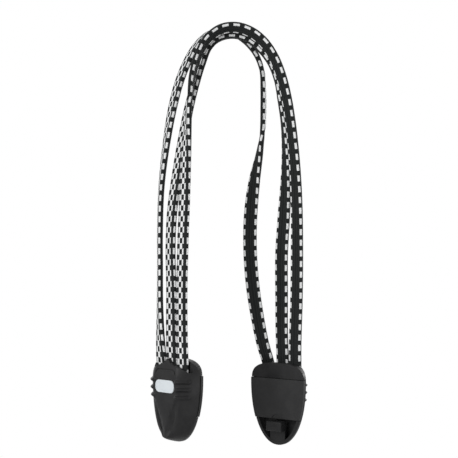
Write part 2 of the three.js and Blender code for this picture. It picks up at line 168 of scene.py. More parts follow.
def head_matrix(side):
    settings = head_places[side]
    return Matrix.Translation(settings["place"]) @ Matrix.Rotation(settings["turn"], 4, "Z")


def mouth_knots(side, slot):
    """Where a band runs straight down through a head's mouth into its clip, from the clip up."""
    near_slot = head_places[side]["near_slot"]
    turn = head_places[side]["turn"] - (math.pi if side == "right" else 0)
    roll = near_slot * (90 + math.degrees(turn - strap_turn))
    spots = [Vector((slot * near_slot * band_pitch, mouth_depth, height)) for height in mouth_heights]
    return [(head_matrix(side) @ spot, roll) for spot in spots]


def band_knots(route):
    knots = mouth_knots("left", route["slot"])
    for stretch in ("left_leg", "crown", "right_leg"):
        knots += [(strap_point(*point[:3]), point[3]) for point in route[stretch]]
    return knots + mouth_knots("right", route["slot"])[::-1]


def knot_slopes(values, gaps):
    """Slope at each knot, weighted so that the shorter gap beside a knot counts more."""
    steps = [(after - before) / gap for before, after, gap in zip(values, values[1:], gaps)]
    slopes = [steps[0]]
    for before, after, gap, next_gap in zip(steps, steps[1:], gaps, gaps[1:]):
        slopes.append((before * next_gap + after * gap) / (gap + next_gap))
    return slopes + [steps[-1]]


def smooth_between(values, slopes, gaps, index, share):
    rise = share * share * (3 - 2 * share)
    leave = share * (1 - share) ** 2 * gaps[index]
    arrive = -share * share * (1 - share) * gaps[index]
    along = values[index] * (1 - rise) + values[index + 1] * rise
    return along + slopes[index] * leave + slopes[index + 1] * arrive


def band_rings(knots, first, last, run):
    """Rings along a stretch: centre, width direction, outward direction, run along the band and roll."""
    places = [place for place, roll in knots]
    rolls = [roll for place, roll in knots]
    gaps = [(after - before).length for before, after in zip(places, places[1:])]
    place_slopes = knot_slopes(places, gaps)
    roll_slopes = knot_slopes(rolls, gaps)
    shares = []
    for index in range(first, last):
        count = max(least_rings, round(gaps[index] / ring_step))
        shares += [(index, part / count) for part in range(count)]
    shares.append((last - 1, 1.0))
    centres = [smooth_between(places, place_slopes, gaps, index, share) for index, share in shares]
    rings = []
    for number, (index, share) in enumerate(shares):
        before = centres[max(number - 1, 0)]
        after = centres[min(number + 1, len(centres) - 1)]
        forward = (after - before).normalized()
        roll = smooth_between(rolls, roll_slopes, gaps, index, share)
        wide = strap_point(0, -1, 0)
        wide = (wide - forward * wide.dot(forward)).normalized()
        wide = Matrix.Rotation(math.radians(roll), 3, forward) @ wide
        if number > 0:
            run += (centres[number] - before).length
        rings.append((centres[number], wide, wide.cross(forward), run, roll))
    return rings


def flat_section(width, thickness, flat_steps, edge_steps):
    """Points of a flat section with round edges: distance round from the outer face's middle, then
    place across and outwards, then the way that the surface faces there."""
    flat = (width - thickness) / 2
    radius = thickness / 2
    half = [(flat * step / flat_steps, 0) for step in range(flat_steps)]
    half += [(flat, math.pi * step / edge_steps) for step in range(edge_steps)]
    half += [(flat * (1 - step / flat_steps), math.pi) for step in range(flat_steps + 1)]
    points = []
    for side in (1, -1):
        for across, angle in half if side == 1 else half[-2:0:-1]:
            around = across if angle < math.pi else 2 * flat - across
            around += radius * angle
            face = Vector((side * math.sin(angle), math.cos(angle)))
            place = Vector((side * across, 0)) + face * radius
            points.append((around, place, face))
    return points


def ease(value, start, end):
    share = min(max((value - start) / (end - start), 0), 1)
    return share * share * (3 - 2 * share)


def edge_roll(roll, near):
    """How far the edge yarns are drawn round from the edge's middle, towards the inner face."""
    drawn, changes = near_edge_drawn if near else far_edge_drawn
    for change, start, end in changes:
        drawn += change * ease(roll, start, end)
    return drawn


def yarn_float(around, run, drawn):
    """How far the floated yarns stand out of the weave, from 0 to 1."""
    flat = (band_width - band_thickness) / 2
    edge = flat + band_thickness * math.pi / 4 + drawn
    phase = abs((run / weave_repeat) % 1 - 0.5)
    beat = 0.5 + 0.5 * math.cos(2 * math.pi * phase)
    if abs(around - edge) < edge_float_reach:
        return math.cos(math.pi / 2 * (around - edge) / edge_float_reach) * (0.6 + 0.4 * beat)
    if around < middle_float_reach:
        return 1 - beat
    if around < side_float_reach:
        return beat
    return 0.0


def sweep(name, rings, section, bore=None):
    """A closed band along the rings, hollow where a bore section is given."""
    points = []
    weave = []
    faces = []
    count = len(section)
    for centre, wide, outward, run, roll in rings:
        for around, place, face in section:
            drawn = edge_roll(roll, place.x > 0)
            rise = yarn_float(around, run, drawn) * float_rise if bore else 0.0
            spot = place + face * rise
            points.append(centre + wide * spot.x + outward * spot.y)
            weave.append((around * 1000, run / weave_repeat, drawn * 1000))
    for ring in range(len(rings) - 1):
        for side in range(count):
            near = ring * count
            after = (side + 1) % count
            faces.append((near + side, near + after, near + count + after, near + count + side))
    last = (len(rings) - 1) * count
    if bore:
        inner_rings = rings[:-1:bore_every] + [rings[-1]]
        start = len(points)
        for centre, wide, outward, run, roll in inner_rings:
            for around, place, face in bore:
                points.append(centre + wide * place.x + outward * place.y)
                weave.append((-1.0, run / weave_repeat, 0.0))
        for ring in range(len(inner_rings) - 1):
            near = start + ring * count
            for side in range(count):
                after = (side + 1) % count
                faces.append((near + side, near + count + side, near + count + after, near + after))
        inner_last = start + (len(inner_rings) - 1) * count
        for side in range(count):
            after = (side + 1) % count
            faces.append((side, start + side, start + after, after))
            faces.append((last + after, inner_last + after, inner_last + side, last + side))
    else:
        faces.append(tuple(reversed(range(count))))
        faces.append(tuple(last + side for side in range(count)))
    mesh = bpy.data.meshes.new(name)
    mesh.from_pydata(points, [], faces)
    attribute = mesh.attributes.new("weave", "FLOAT_VECTOR", "POINT")
    attribute.data.foreach_set("vector", [number for spot in weave for number in spot])
    band = bpy.data.objects.new(name, mesh)
    bpy.context.collection.objects.link(band)
    mesh.shade_smooth()
    return band


def new_material(name):
    material = bpy.data.materials.new(name)
    material.use_nodes = True
    tree = material.node_tree
    return material, tree, tree.nodes["Principled BSDF"]


def calculate(tree, operation, *values):
    node = tree.nodes.new("ShaderNodeMath")
    node.operation = operation
    for socket, value in zip(node.inputs, values):
        if isinstance(value, bpy.types.NodeSocket):
            tree.links.new(value, socket)
        else:
            socket.default_value = value
    return node.outputs[0]


def ramp(tree, value, start, end, low, high):
    node = tree.nodes.new("ShaderNodeMapRange")
    node.interpolation_type = "SMOOTHSTEP"
    tree.links.new(value, node.inputs["Value"])
    for name, number in (("From Min", start), ("From Max", end), ("To Min", low), ("To Max", high)):
        node.inputs[name].default_value = number
    return node.outputs["Result"]


def blend_colours(tree, share, first, second):
    node = tree.nodes.new("ShaderNodeMix")
    node.data_type = "RGBA"
    tree.links.new(share, node.inputs["Factor"])
    for socket, colour in ((node.inputs["A"], first), (node.inputs["B"], second)):
        if isinstance(colour, bpy.types.NodeSocket):
            tree.links.new(colour, socket)
        else:
            socket.default_value = colour
    return node.outputs["Result"]


def noise(tree, scale, detail):
    place = tree.nodes.new("ShaderNodeTexCoord")
    node = tree.nodes.new("ShaderNodeTexNoise")
    node.inputs["Scale"].default_value = scale
    node.inputs["Detail"].default_value = detail
    tree.links.new(place.outputs["Object"], node.inputs["Vector"])
    return node.outputs["Fac"]


def bump(tree, shader, height, strength, distance):
    node = tree.nodes.new("ShaderNodeBump")
    node.inputs["Strength"].default_value = strength
    node.inputs["Distance"].default_value = distance
    tree.links.new(height, node.inputs["Height"])
    tree.links.new(node.outputs["Normal"], shader.inputs["Normal"])


def weave_place(tree):
    """Millimetres round from the outer face's middle, weave repeats along the band, and how far the edge
    yarns are drawn round, in millimetres."""
    spot = tree.nodes.new("ShaderNodeAttribute")
    spot.attribute_name = "weave"
    parts = tree.nodes.new("ShaderNodeSeparateXYZ")
    tree.links.new(spot.outputs["Vector"], parts.inputs["Vector"])
    return parts.outputs["X"], parts.outputs["Y"], parts.outputs["Z"]


def white_cells(tree, from_line, sides, phase, ends, within, outside):
    """A row of white cells, by the distance from its line and the phase along it."""
    width = ramp(tree, from_line, *sides, 1, 0)
    return calculate(tree, "MULTIPLY", width, ramp(tree, phase, *ends, within, outside))


def woven_band_material():
    """White floats in a black ground, with a little unevenness in where each yarn lies."""
    material, tree, shader = new_material("woven_band")
    around, along, drawn = weave_place(tree)
    uneven = calculate(tree, "SUBTRACT", noise(tree, 900, 2), 0.5)
    across = calculate(tree, "MULTIPLY_ADD", uneven, 0.25, around)
    run = calculate(tree, "MULTIPLY_ADD", uneven, 0.07, along)
    phase = calculate(tree, "ABSOLUTE", calculate(tree, "SUBTRACT", calculate(tree, "FRACT", run), 0.5))

    edge_middle = ((band_width - band_thickness) / 2 + band_thickness * math.pi / 4) * 1000
    edge_line = calculate(tree, "ADD", drawn, edge_middle)
    from_edge = calculate(tree, "ABSOLUTE", calculate(tree, "SUBTRACT", across, edge_line))
    edge_dash = white_cells(tree, from_edge, edge_dash_sides, phase, edge_dash_ends, 1, 0)
    from_side = calculate(tree, "ABSOLUTE", calculate(tree, "SUBTRACT", across, side_cell_line))
    side_cell = white_cells(tree, from_side, side_cell_sides, phase, side_cell_ends, 1, 0)
    from_middle = calculate(tree, "ABSOLUTE", across)
    middle_cell = white_cells(tree, from_middle, middle_cell_sides, phase, middle_cell_ends, 0, 1)
    white = calculate(tree, "MAXIMUM", edge_dash, calculate(tree, "MAXIMUM", side_cell, middle_cell))

    yarn_count = calculate(tree, "DIVIDE", around, yarn_width)
    yarn = calculate(tree, "SINE", calculate(tree, "MULTIPLY", yarn_count, math.pi))
    yarn = calculate(tree, "ABSOLUTE", yarn)
    odd = calculate(tree, "MULTIPLY", calculate(tree, "FLOOR", yarn_count), math.pi)
    pick = calculate(tree, "MULTIPLY_ADD", along, 2 * math.pi * picks_in_repeat, odd)
    pick = calculate(tree, "SINE", pick)
    inner_face = ramp(tree, around, *inner_face_start, 0, 1)
    rib = calculate(tree, "COSINE", calculate(tree, "MULTIPLY", around, 2 * math.pi / inner_rib_width))
    rib = calculate(tree, "MULTIPLY", inner_face, rib)
    height = calculate(tree, "MULTIPLY_ADD", pick, 0.25, yarn)
    height = calculate(tree, "MULTIPLY_ADD", rib, 0.8, height)
    height = calculate(tree, "MULTIPLY_ADD", white, 0.5, height)

    # Painted highlight and shade: the black ground is lighter on the crown of each yarn and each inner rib,
    # and darker in the grooves between them
    painted_crest_light = calculate(tree, "MULTIPLY_ADD", rib, 0.16, ramp(tree, yarn, 0, 1, 0.0, 0.22))
    ground = blend_colours(tree, painted_crest_light, band_black, band_lit_black)
    # Painted shade: each white yarn is darker towards its sides, in the grooves between yarns, and full white
    # along its crown
    thread = blend_colours(tree, ramp(tree, yarn, 0, 0.7, 0, 1), shaded_thread_white, band_white)
    tree.links.new(blend_colours(tree, white, ground, thread), shader.inputs["Base Color"])
    tree.links.new(ramp(tree, yarn, 0, 1, 0.92, 0.74), shader.inputs["Roughness"])
    shader.inputs["Specular IOR Level"].default_value = 0.12
    bump(tree, shader, height, 0.5, 0.0002)
    return material


def hang_on_stretch(piece, stretch):
    """The crown goes on the crown's body; a leg, which lengthens between the crown and its head, is left in
    place with no body.
    """
    if stretch == "crown":
        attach(piece, "crown")
    else:
        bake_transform(piece)


woven_band = woven_band_material()
sleeve_section = flat_section(band_width, band_thickness, flat_steps=5, edge_steps=10)
bore_section = flat_section(
    band_width - 2 * sleeve_wall, band_thickness - 2 * sleeve_wall, flat_steps=5, edge_steps=10
)
stretch_runs = {}
for band, route in band_routes.items():
    knots = band_knots(route)
    crown_start = len(mouth_heights) + len(route["left_leg"])
    crown_end = crown_start + len(route["crown"]) - 1
    run = 0.0
    for stretch, first, last in (
        ("left_leg", 0, crown_start),
        ("crown", crown_start, crown_end),
        ("right_leg", crown_end, len(knots) - 1),
    ):
        rings = band_rings(knots, first, last, run)
        towards_head = knots[1][0] if stretch == "left_leg" else knots[-2][0]
        stretch_runs[band, stretch] = (rings, towards_head)
        sleeve = sweep(f"{band}_{stretch}_band", rings, sleeve_section, bore_section)
        sleeve.data.materials.append(woven_band)
        hang_on_stretch(sleeve, stretch)
        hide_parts(f"{band}_{stretch}_sleeve")
        run = rings[-1][3]

# Rubber threads: a flat bundle of natural rubber threads inside each woven sleeve, which makes the band
# elastic. It is clamped with the sleeve in the clip at each end, lengthens with it and never shows.
core_gap = 0.0003
core_every = 3
thread_width = 0.6
# Rubber colours: the threads' own buff, and a darker tone used as painted shade between threads
rubber_buff = (0.31, 0.26, 0.19, 1)
rubber_shade = (0.20, 0.16, 0.11, 1)


def rubber_thread_material():
    material, tree, shader = new_material("rubber_threads")
    around = weave_place(tree)[0]
    thread = calculate(tree, "MULTIPLY", around, math.pi / thread_width)
    thread = calculate(tree, "ABSOLUTE", calculate(tree, "SINE", thread))
    # Painted light and shade with real bloom: each thread is lighter along its crown and darker where it
    # meets the next, times a random mottle for the rubber's bloom
    crest_light_and_bloom = calculate(tree, "MULTIPLY", thread, ramp(tree, noise(tree, 400, 3), 0.3, 0.7, 0.7, 1))
    tree.links.new(blend_colours(tree, crest_light_and_bloom, rubber_shade, rubber_buff), shader.inputs["Base Color"])
    tree.links.new(ramp(tree, thread, 0, 1, 0.9, 0.7), shader.inputs["Roughness"])
    bump(tree, shader, thread, 0.6, 0.0002)
    return material


rubber_threads = rubber_thread_material()
core_inset = 2 * (sleeve_wall + core_gap)
core_section = flat_section(
    band_width - core_inset, band_thickness - core_inset, flat_steps=4, edge_steps=4
)
for (band, stretch), (rings, towards_head) in stretch_runs.items():
    core = sweep(f"{band}_{stretch}_threads", rings[:-1:core_every] + [rings[-1]], core_section)
    core.data.materials.append(rubber_threads)
    hang_on_stretch(core, stretch)
    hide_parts(f"{band}_{stretch}_core")

# Band clips: a strip of bright steel folded up around each band's end, too thick to pass the mouth, so
# that the head can't pull off. They stay hidden inside the heads, so the frame's own shapes are kept.
steel_light = (0.62, 0.63, 0.64, 1)
steel_dark = (0.42, 0.43, 0.44, 1)
brushing_scale = (300, 300, 9000)
brushed_steel, tree, shader = new_material("brushed_steel")
place = tree.nodes.new("ShaderNodeTexCoord")
stretched = tree.nodes.new("ShaderNodeMapping")
stretched.inputs["Scale"].default_value = brushing_scale
tree.links.new(place.outputs["Object"], stretched.inputs["Vector"])
brushing = tree.nodes.new("ShaderNodeTexNoise")
brushing.inputs["Scale"].default_value = 1.0
tree.links.new(stretched.outputs["Vector"], brushing.inputs["Vector"])
scratch = brushing.outputs["Fac"]
tree.links.new(blend_colours(tree, scratch, steel_dark, steel_light), shader.inputs["Base Color"])
tree.links.new(ramp(tree, scratch, 0.3, 0.7, 0.28, 0.42), shader.inputs["Roughness"])
shader.inputs["Metallic"].default_value = 1.0
bump(tree, shader, scratch, 0.3, 0.00002)
for side in head_places:
    for band in band_routes:
        bpy.data.objects[f"{side}_{band}_band_clip"].material_slots[0].material = brushed_steel

# Head shells: two alike egg-shaped mouldings in black plastic, hollow from the back. The front wall rises
# to a gable before the mouth where the bands enter. Grip ribs cross both flanks, and below them finger
# scoops leave a keel that narrows to the tip.
head_half_width = 0.0226
widest_height = 0.0446
shoulder_height = 0.0579
front_top = 0.0600
shoulder_power = 2.9
tip_power = 2.12
rim_depth = 0.0024
rim_round = 0.0004
rim_bulge = 0.3
dome_depth = 0.0119
dome_centre = 0.0347
dome_flat = 0.495
dome_start = 0.42
dome_span = 0.58
dome_gain = 1.046
dome_powers = (1.52, 0.92)
flat_ring_shares = (0.93, 0.85, 0.76, 0.66, 0.55, 0.43, 0.3, 0.15)
height_draw = 0.22
side_wall = 0.0024
front_wall = 0.0039
rib_heights = (0.0323, 0.03755, 0.0428)
ribbed_heights = (0.0285, 0.0465)
ribbed_spacing = 0.00038
plain_spacing = 0.0008
beyond = 0.1
gable = ((0, 0.0588), (0.0032, 0.0550), (0.0170, 0.0500), (beyond, 0.0500))
neck_underside = 0.0434
mouth_shoulder = 0.0490
mouth_half_width = 0.0165
mouth_half_depth = 0.0022
shoulder_opening = 0.0009
pocket_half_width = 0.0158
pocket_half_depth = 0.0030
pocket_floor = 0.0362
room_half_width = 0.0069
room_floor = -0.0013
window_floor = -0.0026
hook_top = 0.0169
cover_bottom = 0.0186
cover_top = 0.0468
seat_gap = 0.0003
label_half_size = (0.0092, 0.0043)
label_corner = 0.0036
label_middle = 0.0391
label_seat_floor = -0.0109
groove_half_size = (0.00985, 0.00885)
groove_corner = 0.0032
groove_width = 0.0006
groove_depth = 0.0004
groove_middle = 0.0421
groove_bottom = 0.0475
before_front = -0.02
before_gable = -0.05
past = 0.001
touching = 0.000001
merge_distance = 0.00001
# Relief of the shell in millimetres: the ribs, the keel that widens upwards, the scoops beside it and the
# heights between which the front leans back
rib_rise = 1.6
rib_half_spread = 1.9
rib_inner_ends = (9.4, 11.2)
rib_back_ends = (-6.8, -4.4)
keel_half_width = 0.8
keel_foot = 10
keel_below_foot = -2
keel_spread = 9.6
keel_length = 22
scoop_falls = ((1.0, 0, 1.5), (1.0, 0.8, 4.5))
scoop_side_shares = (0.42, 0.64)
scoop_lower_ends = (3.5, 10)
scoop_upper_ends = (28, 31.5)
scoop_back = -0.5
lean_heights = (44, 59)
lean_share = 0.22
plastic_black = (0.0140, 0.0140, 0.0145, 1)
plastic_worn = (0.0200, 0.0200, 0.0205, 1)


def egg_outline(inset, top, spacing):
    """A little fuller than half an ellipse down to the tip, and fuller still at the shoulder above the
    widest height, with its points spaced by a function of the height."""
    dense = []
    dense_steps = 2880
    for step in range(dense_steps):
        angle = 2 * math.pi * step / dense_steps - math.pi / 2
        lower = math.sin(angle) < 0
        power = 2 / (tip_power if lower else shoulder_power)
        rise = (widest_height if lower else top - widest_height) - inset
        across = math.copysign(abs(math.cos(angle)) ** power, math.cos(angle))
        up = math.copysign(abs(math.sin(angle)) ** power, math.sin(angle))
        dense.append(Vector(((head_half_width - inset) * across, widest_height + rise * up)))
    dense.append(dense[0])
    counts = [0.0]
    for before, after in zip(dense, dense[1:]):
        counts.append(counts[-1] + (after - before).length / spacing(before.y))
    total = round(counts[-1])
    points = []
    for spot, count in zip(dense, counts):
        if len(points) < total and count / counts[-1] * total >= len(points):
            points.append(spot)
    return points


def rounded_plate(half_width, half_height, corner, middle):
    points = []
    corner_steps = 12
    for across, up, start in ((1, -1, -90), (1, 1, 0), (-1, 1, 90), (-1, -1, 180)):
        for step in range(corner_steps + 1):
            angle = math.radians(start + 90 * step / corner_steps)
            x = across * (half_width - corner) + corner * math.cos(angle)
            points.append((x, middle + up * (half_height - corner) + corner * math.sin(angle)))
    return points


def draw_outline(name, outline, depth):
    """A flat face of the outline's shape, standing upright, left in edit mode."""
    bpy.ops.object.select_all(action="DESELECT")
    bpy.ops.mesh.primitive_circle_add(vertices=len(outline), radius=1, fill_type="NGON", location=(0, 0, 0))
    piece = bpy.context.object
    piece.name = name
    for vertex, (across, up) in zip(piece.data.vertices, outline):
        vertex.co = (across, depth, up)
    bpy.ops.object.mode_set(mode="EDIT")
    bpy.ops.mesh.select_all(action="SELECT")
    return piece


def close_solid():
    bpy.ops.mesh.select_all(action="SELECT")
    bpy.ops.mesh.normals_make_consistent(inside=False)
    bpy.ops.object.mode_set(mode="OBJECT")


def outline_block(name, outline, front, back):
    piece = draw_outline(name, outline, back)
    bpy.ops.mesh.extrude_region_move(TRANSFORM_OT_translate={"value": (0, front - back, 0)})
    close_solid()
    return piece


def box(name, across, depth, height):
    left, right = across
    low, high = height
    return outline_block(name, [(left, low), (right, low), (right, high), (left, high)], *depth)


def select_only(piece):
    bpy.ops.object.select_all(action="DESELECT")
    piece.select_set(True)
    bpy.context.view_layer.objects.active = piece


def shape_by(piece, other, operation):
    """Cuts the other solid from a piece, joins it to the piece or keeps what both share, and uses it up."""
    select_only(piece)
    shaping = piece.modifiers.new("shaping", "BOOLEAN")
    shaping.object = other
    shaping.operation = operation
    shaping.solver = "MANIFOLD"
    bpy.ops.object.modifier_apply(modifier=shaping.name)
    bpy.data.objects.remove(other)


def bevel_where(piece, test, width, steps):
    """Rounds the edges whose two ends pass the test."""
    select_only(piece)
    bpy.ops.object.mode_set(mode="EDIT")
    bpy.ops.mesh.select_mode(type="EDGE")
    bpy.ops.mesh.select_all(action="DESELECT")
    bpy.ops.object.mode_set(mode="OBJECT")
    spots = [vertex.co for vertex in piece.data.vertices]
    for edge in piece.data.edges:
        edge.select = test(spots[edge.vertices[0]], spots[edge.vertices[1]])
    bpy.ops.object.mode_set(mode="EDIT")
    bpy.ops.mesh.bevel(offset=width, segments=steps, affect="EDGES", clamp_overlap=True)
    bpy.ops.object.mode_set(mode="OBJECT")


def dome_rise(out):
    """Share of the dome's depth, from the rim at 1 in to the flat front."""
    share = (out - dome_start) / dome_span
    return min(1, dome_gain * (1 - share ** dome_powers[0]) ** dome_powers[1]) if out < 1 else 0


def dome(name, inset, depth, back, edge_round, spacing, steps):
    """A dome over the egg outline with a straight rim behind it, raised ring by ring from its back."""
    rings = [(1, 1, 0)]
    for step in range(1, steps + 1):
        out = 1 - (1 - dome_flat) * step / steps
        rings.append((out, 1 - height_draw * (1 - out), -depth * dome_rise(out)))
    flat_across, flat_up, front = rings[-1]
    rings += [(flat_across * share, flat_up * share, front) for share in flat_ring_shares]
    across = 1 - edge_round / head_half_width
    up = 1 - edge_round / (front_top - dome_centre)
    half_round = [1 - rim_bulge * (1 - inward) for inward in (across, up)]
    rim = [(*half_round, back - rim_bulge * edge_round), (1, 1, back - edge_round)]
    outline = egg_outline(inset, front_top, spacing)
    piece = draw_outline(name, [(x * across, dome_centre + (z - dome_centre) * up) for x, z in outline], back)
    before = (across, up, back)
    for ring in (rim if edge_round else []) + rings:
        rise = ring[2] - before[2]
        bpy.ops.mesh.extrude_region_move(TRANSFORM_OT_translate={"value": (0, rise, 0)})
        bpy.ops.transform.resize(
            value=(ring[0] / before[0], 1, ring[1] / before[1]), center_override=(0, ring[2], dome_centre)
        )
        before = ring
    close_solid()
    return piece


def shell_relief(spot):
    """Height of the ribs above the dome, or depth of the scoops beside the keel, in millimetres."""
    across, depth, height = abs(spot.x) * 1000, spot.y * 1000, spot.z * 1000
    rib_reach = ease(across, *rib_inner_ends) * (1 - ease(depth, *rib_back_ends))
    rib = 0.0
    for rib_height in rib_heights:
        apart = abs(height - rib_height * 1000)
        if apart < rib_half_spread:
            rib = 0.5 + 0.5 * math.cos(math.pi * apart / rib_half_spread)
    keel = keel_half_width + max(height - keel_foot, keel_below_foot) * keel_spread / keel_length
    widest = widest_height * 1000
    below_widest = (widest - min(height, widest)) / widest
    half_width = head_half_width * 1000 * math.sqrt(max(1 - below_widest ** 2, 0.001))
    fall = sum(deep * ease(across, keel + start, keel + end) for deep, start, end in scoop_falls)
    fall *= 1 - ease(across, scoop_side_shares[0] * half_width, scoop_side_shares[1] * half_width)
    fall *= ease(height, *scoop_lower_ends) * (1 - ease(height, *scoop_upper_ends))
    return rib_rise * rib * rib_reach - (fall if depth < scoop_back else 0)


def lean_back(height):
    """The front leans back above the label, towards the gable's peak at the mouth."""
    return 1 - lean_share * ease(height * 1000, *lean_heights)


def evenly(distance):
    """A spacing of outline points that is the same at every height."""
    return lambda height: distance


def close_by_ribs(height):
    """A spacing of outline points that is finer where the ribs end."""
    return ribbed_spacing if ribbed_heights[0] < height < ribbed_heights[1] else plain_spacing


def groove_line(inward):
    """The upper part of a rounded frame around the label's panel, drawn inwards from the groove's outside."""
    half_width, half_height = groove_half_size
    line = rounded_plate(half_width - inward, half_height - inward, groove_corner - inward, groove_middle)
    return [(x, z) for x, z in line if z > groove_bottom]


shell = dome("shell", 0, dome_depth, rim_depth, rim_round, close_by_ribs, steps=34)
relief = [vertex.normal * shell_relief(vertex.co) / 1000 for vertex in shell.data.vertices]
for vertex, rise in zip(shell.data.vertices, relief):
    vertex.co += rise
    if vertex.co.y < 0:
        vertex.co.y *= lean_back(vertex.co.z)

gable_sides = [(-x, z) for x, z in gable[:0:-1]]
above_gable = [*gable, (beyond, beyond), (-beyond, beyond), *gable_sides]
shape_by(shell, outline_block("above_gable", above_gable, before_gable, mouth_depth), "DIFFERENCE")
shoulder_line = egg_outline(0, shoulder_height, evenly(0.0012))
crest = sorted((x, z) for x, z in shoulder_line if z >= widest_height)
above_crest = [
    (-beyond, widest_height), *crest, (beyond, widest_height), (beyond, beyond), (-beyond, beyond)
]
shape_by(shell, outline_block("above_shoulder", above_crest, mouth_depth, rim_depth + past), "DIFFERENCE")
bevel_where(
    shell, lambda a, b: min(a.y, b.y) > rim_depth - touching and min(a.z, b.z) > cover_top + seat_gap,
    width=rim_round, steps=3,
)

whole_span = (-beyond, beyond)
hollow_depth = dome_depth - front_wall
hollow = dome("hollow", side_wall, hollow_depth, rim_depth + past, 0, evenly(0.0016), steps=14)
shape_by(hollow, box("neck", whole_span, whole_span, (neck_underside, beyond)), "DIFFERENCE")
below_floor = box("window_floor", whole_span, (-beyond, window_floor), (-beyond, cover_bottom))
shape_by(hollow, below_floor, "DIFFERENCE")
inside_rim = egg_outline(side_wall, front_top, evenly(0.0012))
tongue_room = outline_block("tongue_room", inside_rim, room_floor, rim_depth + past)
room_limits = box("room_limits", (-room_half_width, room_half_width), whole_span, (0, hook_top))
shape_by(tongue_room, room_limits, "INTERSECT")
seat_heights = (cover_bottom - seat_gap, cover_top + seat_gap)
mouth_depths = (mouth_depth - mouth_half_depth, mouth_depth + mouth_half_depth)
groove = groove_line(0) + groove_line(groove_width)[::-1]
panel_groove = outline_block("panel_groove", groove, before_front, 0)
for vertex in panel_groove.data.vertices:
    if vertex.co.y > before_front / 2:
        vertex.co.y = groove_depth - dome_depth * lean_back(vertex.co.z)
spare_plate = rounded_plate(
    label_half_size[0] + seat_gap, label_half_size[1] + seat_gap, label_corner + seat_gap, label_middle
)
for space in (
    hollow,
    tongue_room,
    box("cover_seat", whole_span, (0, rim_depth + past), seat_heights),
    box("clip_pocket", (-pocket_half_width, pocket_half_width),
        (mouth_depth - pocket_half_depth, rim_depth + past), (pocket_floor, neck_underside)),
    box("mouth", (-mouth_half_width, mouth_half_width), mouth_depths, (neck_underside - past, beyond)),
    box("open_shoulders", whole_span,
        (mouth_depths[0], mouth_depth + shoulder_opening), (mouth_shoulder, beyond)),
    outline_block("label_seat", spare_plate, before_front, label_seat_floor),
    panel_groove,
):
    shape_by(shell, space, "DIFFERENCE")
# The cuts leave points that nearly touch, which are merged
bpy.ops.object.mode_set(mode="EDIT")
bpy.ops.mesh.select_all(action="SELECT")
bpy.ops.mesh.remove_doubles(threshold=merge_distance)
bpy.ops.mesh.dissolve_degenerate(threshold=merge_distance)
bpy.ops.object.mode_set(mode="OBJECT")


def moulded_grain():
    """Fine grain, broad tone and handling gloss of moulded plastic, for all the plastic pieces."""
    group = bpy.data.node_groups.new("moulded_grain", "ShaderNodeTree")
    group.interface.new_socket("Grain Scale", in_out="INPUT", socket_type="NodeSocketFloat")
    for name in ("Height", "Tone", "Gloss"):
        group.interface.new_socket(name, in_out="OUTPUT", socket_type="NodeSocketFloat")
    scale = group.nodes.new("NodeGroupInput").outputs["Grain Scale"]
    result = group.nodes.new("NodeGroupOutput")
    place = group.nodes.new("ShaderNodeTexCoord")
    grain = group.nodes.new("ShaderNodeTexNoise")
    grain.inputs["Detail"].default_value = 3
    group.links.new(place.outputs["Object"], grain.inputs["Vector"])
    group.links.new(scale, grain.inputs["Scale"])
    cloud = noise(group, 130, 3)
    group.links.new(grain.outputs["Fac"], result.inputs["Height"])
    group.links.new(ramp(group, cloud, 0.3, 0.7, 0, 1), result.inputs["Tone"])
    gloss = calculate(group, "MULTIPLY_ADD", grain.outputs["Fac"], 0.5, noise(group, 60, 2))
    group.links.new(ramp(group, gloss, 0.5, 1.0, 0, 1), result.inputs["Gloss"])
    return group


def plastic_material(name, group, grain_scale, depth, dark, light, rough, smooth, reflection):
    material, tree, shader = new_material(name)
    node = tree.nodes.new("ShaderNodeGroup")
    node.node_tree = group
    node.inputs["Grain Scale"].default_value = grain_scale
    tree.links.new(blend_colours(tree, node.outputs["Tone"], dark, light), shader.inputs["Base Color"])
    tree.links.new(ramp(tree, node.outputs["Gloss"], 0, 1, rough, smooth), shader.inputs["Roughness"])
    shader.inputs["Specular IOR Level"].default_value = reflection
    bump(tree, shader, node.outputs["Height"], 0.35, depth)
    return material


def place_on_heads(piece, name, node, body, material):
    """Finishes a piece drawn upright with the head's tip at the origin, and puts a copy on each head."""
    select_only(piece)
    bpy.ops.object.shade_smooth_by_angle(angle=math.radians(34))
    piece.data.materials.clear()
    piece.data.materials.append(material)
    for side in head_places:
        copy = piece.copy()
        copy.data = piece.data.copy()
        copy.name = f"{side}_{name}"
        copy.data.name = copy.name
        copy.data.transform(head_matrix(side))
        bpy.context.collection.objects.link(copy)
        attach(copy, f"{side}_{body}")
        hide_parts(f"{side}_{node}")
    bpy.data.objects.remove(piece)


grain_group = moulded_grain()
satin_black = plastic_material(
    "satin_black_plastic", grain_group, grain_scale=2600, depth=0.00004, dark=plastic_black,
    light=plastic_worn, rough=0.50, smooth=0.36, reflection=0.16,
)
place_on_heads(shell, "shell", "head_shell", "head", satin_black)

# Label plates: a smooth off-white plate with rounded corners, pressed into a seat in each shell's front
# and left bare.
label_front = -0.0122
label_back = -0.0112
label_round = 0.0002
label_pale = (0.70, 0.745, 0.775, 1)
label_shade = (0.66, 0.705, 0.735, 1)
label_outline = rounded_plate(*label_half_size, label_corner, label_middle)
label = outline_block("label", label_outline, label_front, label_back)
bevel_where(label, lambda a, b: max(a.y, b.y) < label_front + touching, width=label_round, steps=3)
smooth_white = plastic_material(
    "smooth_white_plastic", grain_group, grain_scale=1800, depth=0.00002, dark=label_shade,
    light=label_pale, rough=0.46, smooth=0.36, reflection=0.4,
)
place_on_heads(label, "label", "label_plate", "head", smooth_white)

